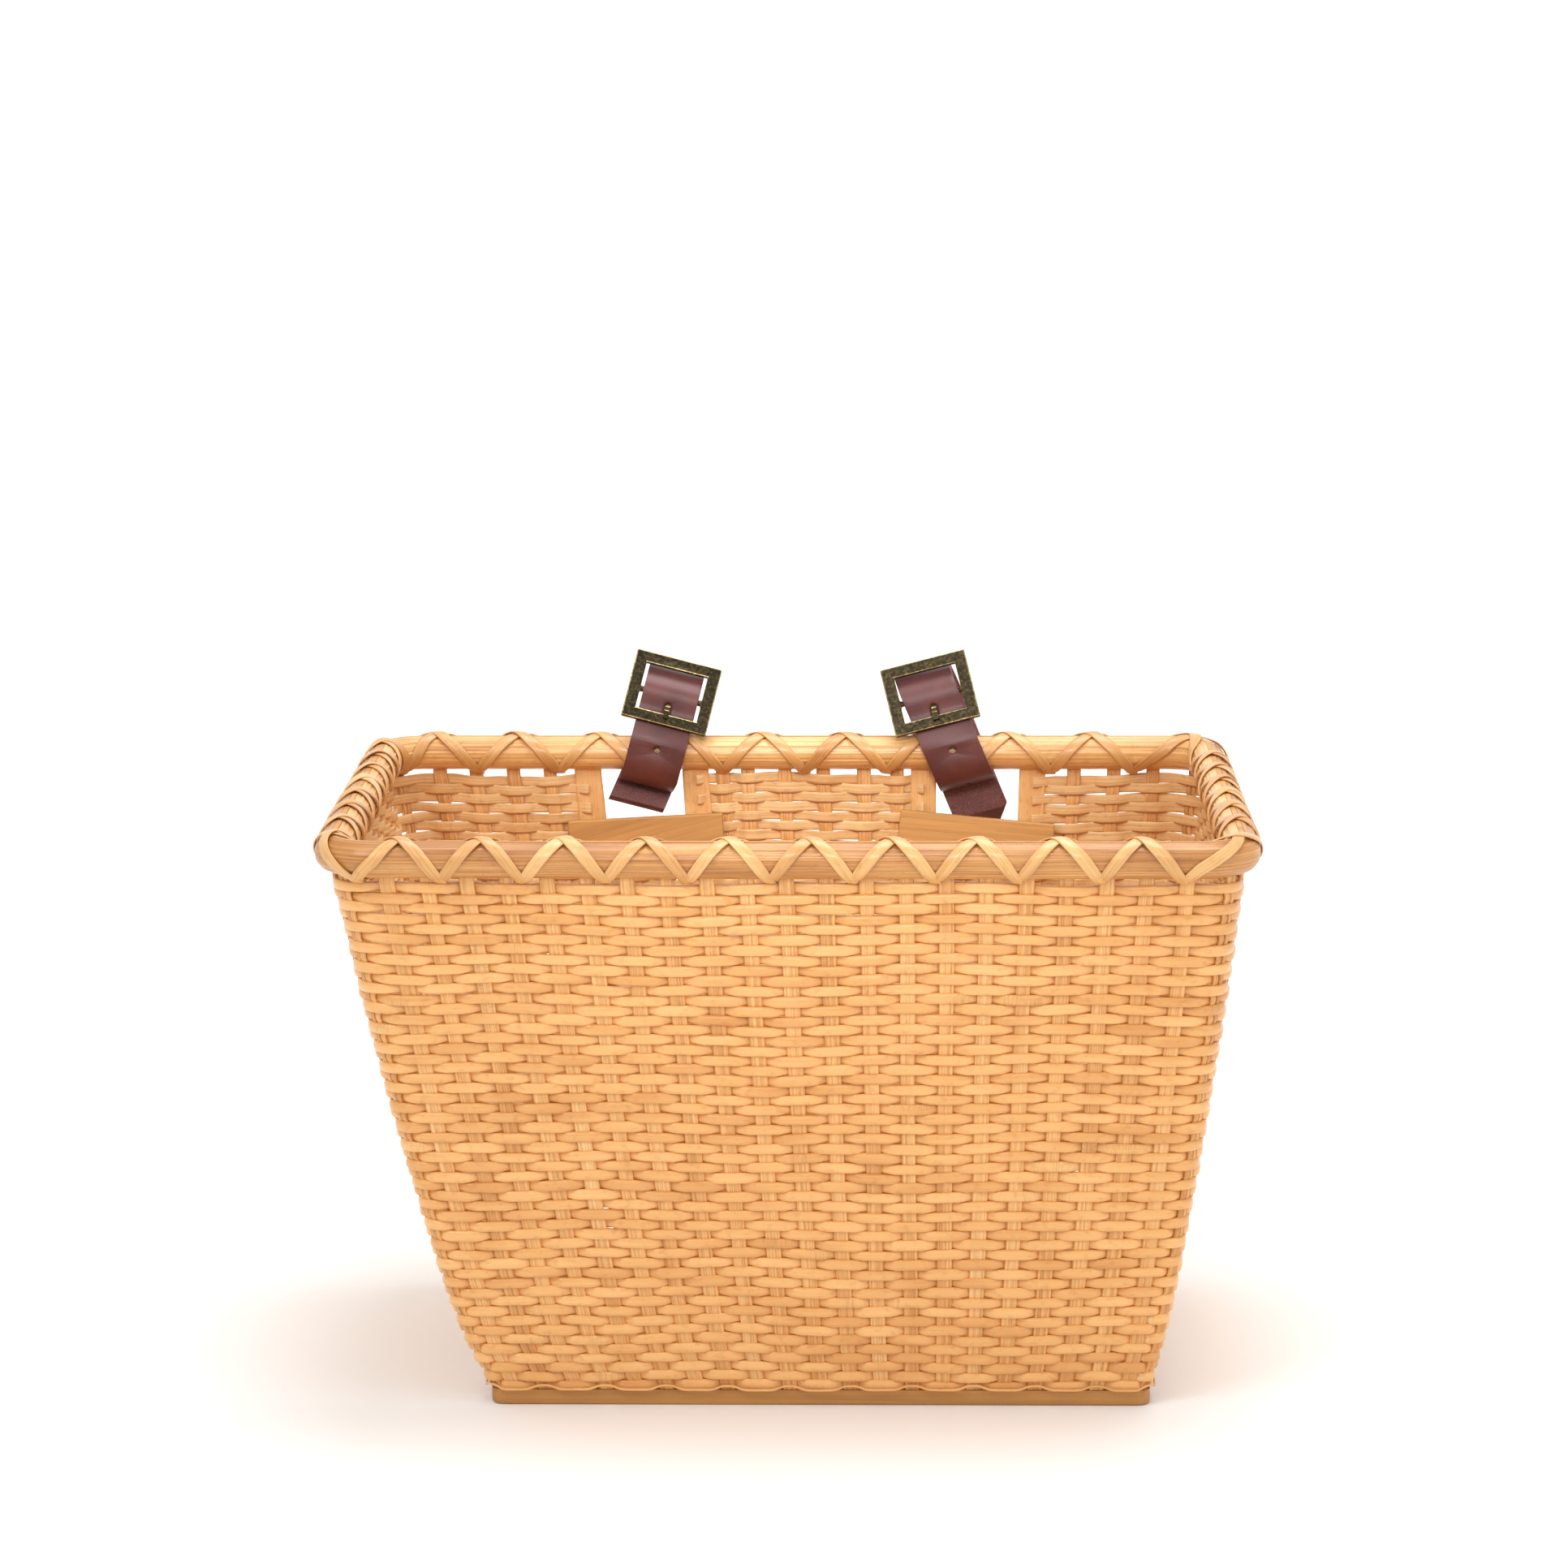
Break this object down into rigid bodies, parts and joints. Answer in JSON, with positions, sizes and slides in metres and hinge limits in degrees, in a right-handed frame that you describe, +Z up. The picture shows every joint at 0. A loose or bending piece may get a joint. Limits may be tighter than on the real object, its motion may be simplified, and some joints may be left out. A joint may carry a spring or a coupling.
{
  "type": "handlebar basket",
  "caption": "Tapered woven cane bicycle basket on a flat board, with a lashed hoop rim and buckled leather straps through rear windows for hanging it on a handlebar.",
  "frame": {"origin": "centre of the underside of the base board", "axes": "+Z up, +X to the right as seen from the front of the basket, +Y towards the bicycle, the side with the windows and straps"},
  "size_m": [0.355, 0.2745, 0.2606],
  "materials": {
    "weave_cane": "satin split cane, woven over one and under one",
    "stake_cane": "ribbed split cane",
    "rim_cane": "grooved half-round cane, satin",
    "lashing_cane": "flat peeled cane, satin",
    "board_wood": "plain sanded board",
    "block_wood": "plain sawn wood",
    "brad_steel": "plain steel",
    "strap_leather": "smooth reddish-brown leather with raw edges",
    "buckle_brass": "dark antiqued brass, worn bright at the edges"
  },
  "bodies": {
    "basket": {"weave_front": "weave_cane", "weave_left": "weave_cane", "weave_right": "weave_cane", "weave_back_lower": "weave_cane", "weave_back_left": "weave_cane", "weave_back_middle": "weave_cane", "weave_back_right": "weave_cane", "weave_corner_front_left": "weave_cane", "weave_corner_front_right": "weave_cane", "weave_corner_back_left": "weave_cane", "weave_corner_back_right": "weave_cane", "foot_strand": "weave_cane", "stakes_front": "stake_cane", "stakes_back": "stake_cane", "stakes_left": "stake_cane", "stakes_right": "stake_cane", "stakes_corners": "stake_cane", "window_posts_left": "stake_cane", "window_posts_right": "stake_cane", "rim_outer_hoop": "rim_cane", "rim_inner_hoop": "rim_cane", "rim_filler": "rim_cane", "rim_lashing": "lashing_cane", "base_board": "board_wood", "window_block_left": "block_wood", "block_brads_left": "brad_steel", "window_block_right": "block_wood", "block_brads_right": "brad_steel"},
    "strap_left": {"strap_left": "strap_leather"},
    "buckle_left": {"buckle_frame_left": "buckle_brass"},
    "prong_left": {"prong_left": "buckle_brass"},
    "strap_right": {"strap_right": "strap_leather"},
    "buckle_right": {"buckle_frame_right": "buckle_brass"},
    "prong_right": {"prong_right": "buckle_brass"}
  },
  "joints": [
    {"name": "strap_left_swing", "type": "hinge", "parent": "basket", "child": "strap_left", "pos_m": [-0.07, 0.1169, 0.218], "axis": [1, 0, 0], "range_deg": [-15, 55]},
    {"name": "buckle_left_rock", "type": "hinge", "parent": "strap_left", "child": "buckle_left", "pos_m": [-0.06393, 0.11939, 0.24131], "axis": [-0.9677, 0, 0.2521], "range_deg": [0, 3]},
    {"name": "prong_left_pivot", "type": "hinge", "parent": "buckle_left", "child": "prong_left", "pos_m": [-0.06393, 0.11939, 0.24131], "axis": [-0.9677, 0, 0.2521], "range_deg": [0, 6]},
    {"name": "strap_right_swing", "type": "hinge", "parent": "basket", "child": "strap_right", "pos_m": [0.05, 0.1169, 0.218], "axis": [1, 0, 0], "range_deg": [-2, 20]},
    {"name": "buckle_right_rock", "type": "hinge", "parent": "strap_right", "child": "buckle_right", "pos_m": [0.044, 0.11931, 0.24105], "axis": [-0.9677, 0, -0.2521], "range_deg": [0, 3]},
    {"name": "prong_right_pivot", "type": "hinge", "parent": "buckle_right", "child": "prong_right", "pos_m": [0.044, 0.11931, 0.24105], "axis": [-0.9677, 0, -0.2521], "range_deg": [0, 6]}
  ]
}
